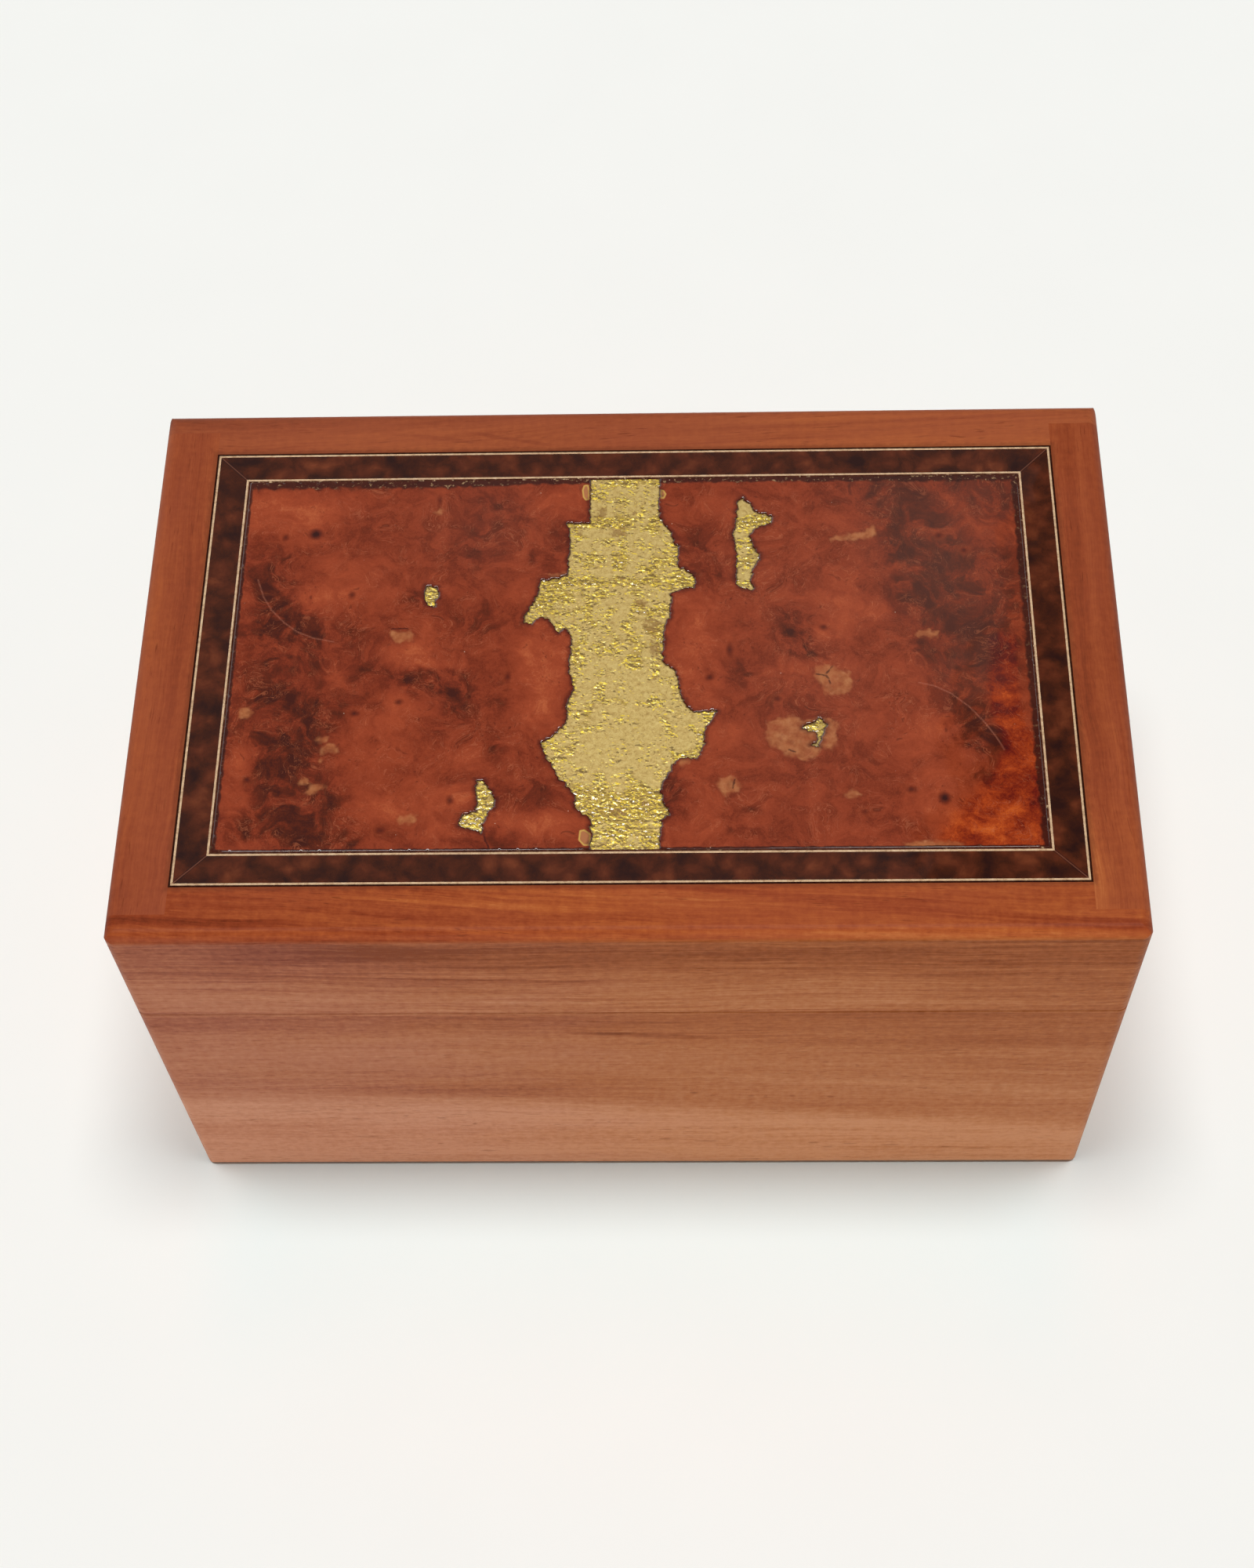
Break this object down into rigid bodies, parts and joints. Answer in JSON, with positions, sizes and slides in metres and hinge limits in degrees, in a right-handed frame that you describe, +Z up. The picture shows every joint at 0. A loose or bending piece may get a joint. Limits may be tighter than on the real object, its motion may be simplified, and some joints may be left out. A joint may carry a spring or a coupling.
{
  "type": "keepsake box",
  "caption": "Rectangular hardwood keepsake box with a flat lid on stop hinges; burl lid panel with a gold-leaf seam, dark burl border and pale stringing.",
  "frame": {"origin": "middle of the whole box, hinge barrels included, on the base plane", "axes": "+X to the right along the front, +Y to the back where the hinges are, +Z up"},
  "size_m": [0.28, 0.1836, 0.162],
  "materials": {
    "case_wood": "satin oil finish",
    "frame_wood": "satin oil finish",
    "plywood": "raw",
    "felt": "napped felt",
    "white_stringing": "lacquered veneer line",
    "black_stringing": "lacquered veneer line",
    "border_burl": "lacquered dark burl veneer",
    "panel_burl": "burl veneer under clear gloss resin",
    "gold_leaf": "crinkled gold leaf under clear gloss resin",
    "brass": "polished, lightly worn"
  },
  "bodies": {
    "base": {"base_front_board": "case_wood", "base_back_board": "case_wood", "base_left_board": "case_wood", "base_right_board": "case_wood", "base_floor_panel": "plywood", "base_lining": "felt", "hinge_left_base_leaf": "brass", "hinge_right_base_leaf": "brass", "hinge_left_pin": "brass", "hinge_right_pin": "brass", "hinge_base_screws": "brass"},
    "lid": {"lid_front_board": "case_wood", "lid_back_board": "case_wood", "lid_left_board": "case_wood", "lid_right_board": "case_wood", "top_stile_left": "frame_wood", "top_stile_right": "frame_wood", "top_rail_front": "frame_wood", "top_rail_back": "frame_wood", "top_core_panel": "plywood", "lid_backing_veneer": "frame_wood", "outer_black_line": "black_stringing", "outer_white_line": "white_stringing", "inner_white_line": "white_stringing", "inner_black_line": "black_stringing", "border_front": "border_burl", "border_back": "border_burl", "border_left": "border_burl", "border_right": "border_burl", "burl_left_half": "panel_burl", "burl_right_half": "panel_burl", "gold_river": "gold_leaf", "gold_chips": "gold_leaf", "hinge_left_lid_leaf": "brass", "hinge_right_lid_leaf": "brass", "hinge_lid_screws": "brass"}
  },
  "joints": [
    {"name": "lid_hinge", "type": "hinge", "parent": "base", "child": "lid", "pos_m": [0, 0.08898, 0.1145], "axis": [-1, 0, 0], "range_deg": [0, 95]}
  ]
}
